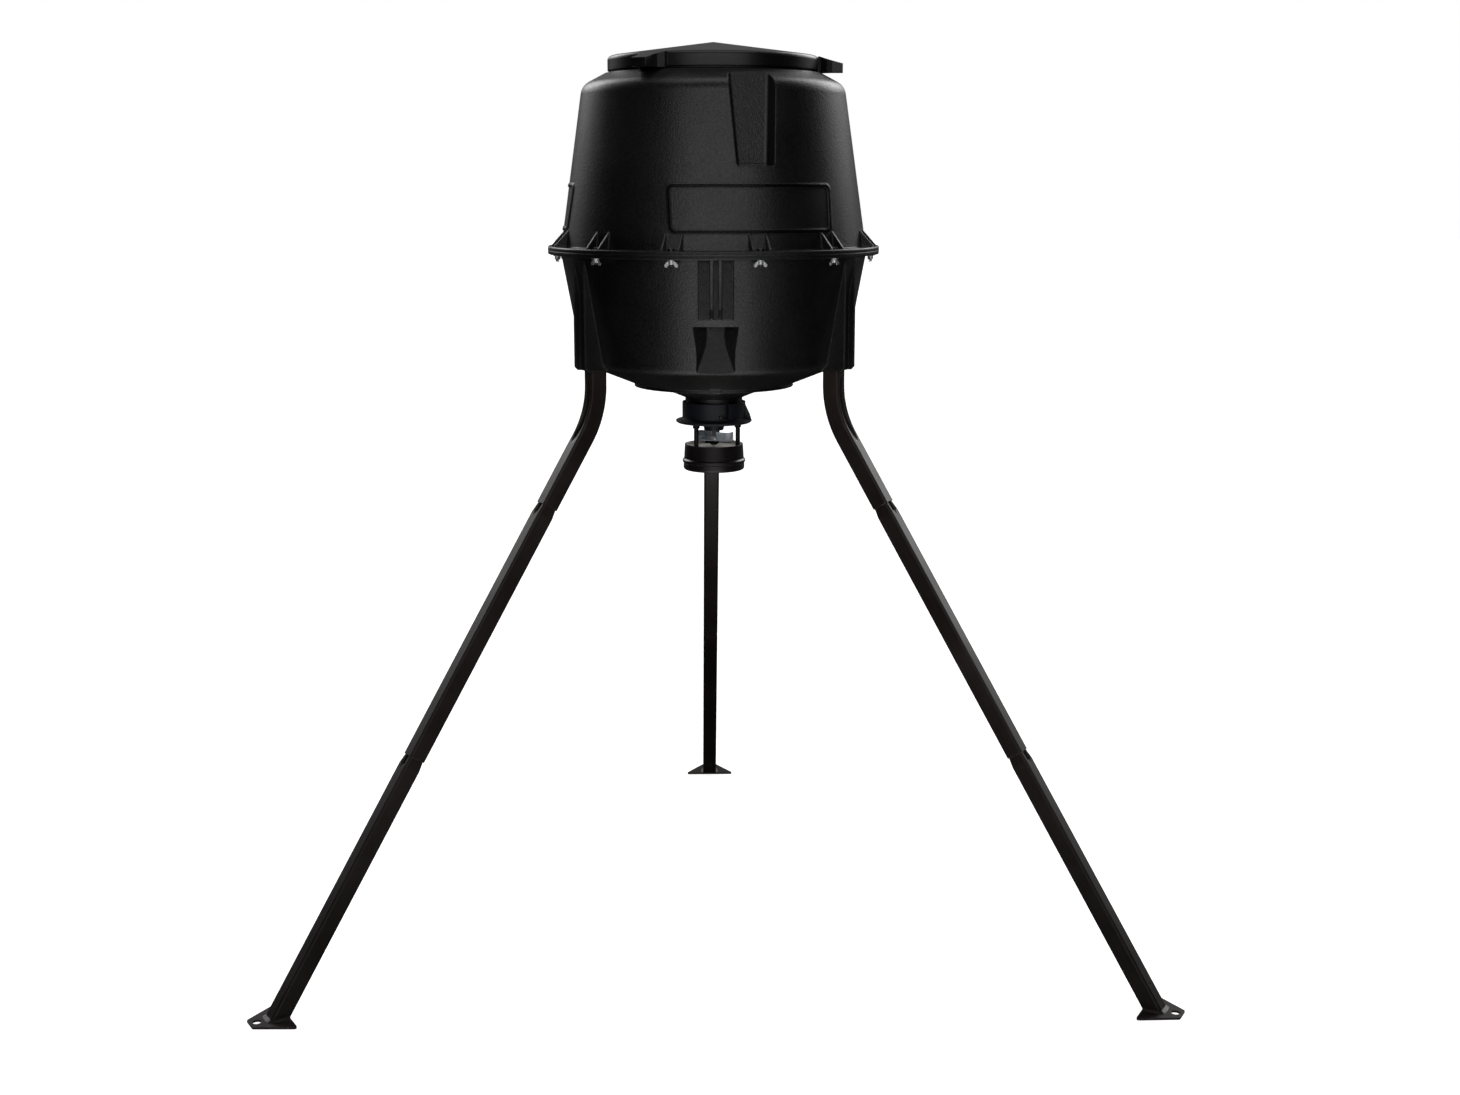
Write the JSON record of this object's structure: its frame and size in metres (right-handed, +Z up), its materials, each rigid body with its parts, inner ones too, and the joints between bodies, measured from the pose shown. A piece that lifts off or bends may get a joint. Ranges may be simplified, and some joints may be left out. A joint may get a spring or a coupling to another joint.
{
  "type": "spin cast feeder",
  "caption": "Tripod wildlife feeder: round plastic hopper with push-on lid on splayed tube legs, a spinner and timer unit hanging under its outlet.",
  "frame": {"origin": "on the ground, on the barrel's vertical axis, at the centre of the circle of stake holes", "axes": "+Z up along the barrel's axis, -Y towards the front, between the two front legs, +X to the right"},
  "size_m": [1.6556, 1.4362, 1.696],
  "materials": {
    "barrel_plastic": "fine moulded grain, charcoal black",
    "barrel_plastic_dark": "fine moulded grain, black",
    "lid_plastic": "fine moulded grain, charcoal black",
    "kit_plastic": "satin moulded, blue-black",
    "housing_plastic": "semi-gloss moulded, brown-black",
    "leg_paint": "satin brown-black paint",
    "zinc": "bright zinc plate",
    "pan_steel": "galvanised",
    "spinner_plastic": "light blue-grey moulded",
    "hub_plastic": "black moulded",
    "rubber": "soft black",
    "motor_steel": "nickel plated",
    "copper": "enamelled copper winding",
    "ferrite": "ground ferrite",
    "board": "green solder mask",
    "display_glass": "grey-green liquid crystal panel",
    "button_rubber": "grey moulded",
    "cell_jacket": "printed jacket, plain"
  },
  "bodies": {
    "barrel": {"barrel_lower": "barrel_plastic_dark", "barrel_upper": "barrel_plastic", "flange_bolts": "zinc", "flange_washers": "zinc", "flange_wing_nuts": "zinc", "leg_left_upper": "leg_paint", "leg_left_middle": "leg_paint", "leg_left_lower": "leg_paint", "foot_plate_left": "leg_paint", "leg_right_upper": "leg_paint", "leg_right_middle": "leg_paint", "leg_right_lower": "leg_paint", "foot_plate_right": "leg_paint", "leg_rear_upper": "leg_paint", "leg_rear_middle": "leg_paint", "leg_rear_lower": "leg_paint", "foot_plate_rear": "leg_paint"},
    "lid_ring": {"lid_seal": "rubber"},
    "lid": {"lid": "lid_plastic"},
    "kit": {"quick_lock_adaptor": "kit_plastic", "feed_funnel": "kit_plastic", "support_posts": "hub_plastic", "post_screws": "zinc", "housing": "housing_plastic", "catch_pan": "pan_steel", "cover_gasket": "rubber", "motor_can": "motor_steel", "motor_end_cap": "motor_steel", "motor_magnets": "ferrite", "timer_board": "board", "timer_panel": "kit_plastic", "timer_display": "display_glass", "battery_cells": "cell_jacket", "battery_trays": "kit_plastic", "battery_contacts": "zinc"},
    "base_cover": {"base_cover": "housing_plastic"},
    "spinner": {"motor_rotor": "copper", "motor_shaft": "motor_steel", "spinner_hub": "hub_plastic", "spinner_plate": "spinner_plastic", "spinner_nut": "zinc"},
    "button_down": {"button_down": "button_rubber"},
    "button_set": {"button_set": "button_rubber"},
    "button_up": {"button_up": "button_rubber"}
  },
  "joints": [
    {"name": "lid_lift", "type": "slide", "parent": "barrel", "child": "lid_ring", "axis": [0, 0, 1], "range_m": [0, 0.25]},
    {"name": "lid_turn", "type": "hinge", "parent": "lid_ring", "child": "lid", "pos_m": [0, 0, 1.66], "axis": [0, 0, 1], "continuous": true},
    {"name": "kit_twist", "type": "hinge", "parent": "barrel", "child": "kit", "pos_m": [0, 0, 1.0126], "axis": [0, 0, 1], "range_deg": [-11, 0]},
    {"name": "base_cover_twist", "type": "hinge", "parent": "kit", "child": "base_cover", "pos_m": [0, 0, 0.92], "axis": [0, 0, 1], "range_deg": [0, 30]},
    {"name": "spinner_spin", "type": "hinge", "parent": "kit", "child": "spinner", "pos_m": [0, 0, 0.961], "axis": [0, 0, 1], "continuous": true},
    {"name": "button_down_press", "type": "slide", "parent": "kit", "child": "button_down", "axis": [0, 0, 1], "range_m": [0, 0.001], "stiffness_N_per_m": 300, "springref_m": -0.001},
    {"name": "button_set_press", "type": "slide", "parent": "kit", "child": "button_set", "axis": [0, 0, 1], "range_m": [0, 0.001], "stiffness_N_per_m": 300, "springref_m": -0.001},
    {"name": "button_up_press", "type": "slide", "parent": "kit", "child": "button_up", "axis": [0, 0, 1], "range_m": [0, 0.001], "stiffness_N_per_m": 300, "springref_m": -0.001}
  ]
}
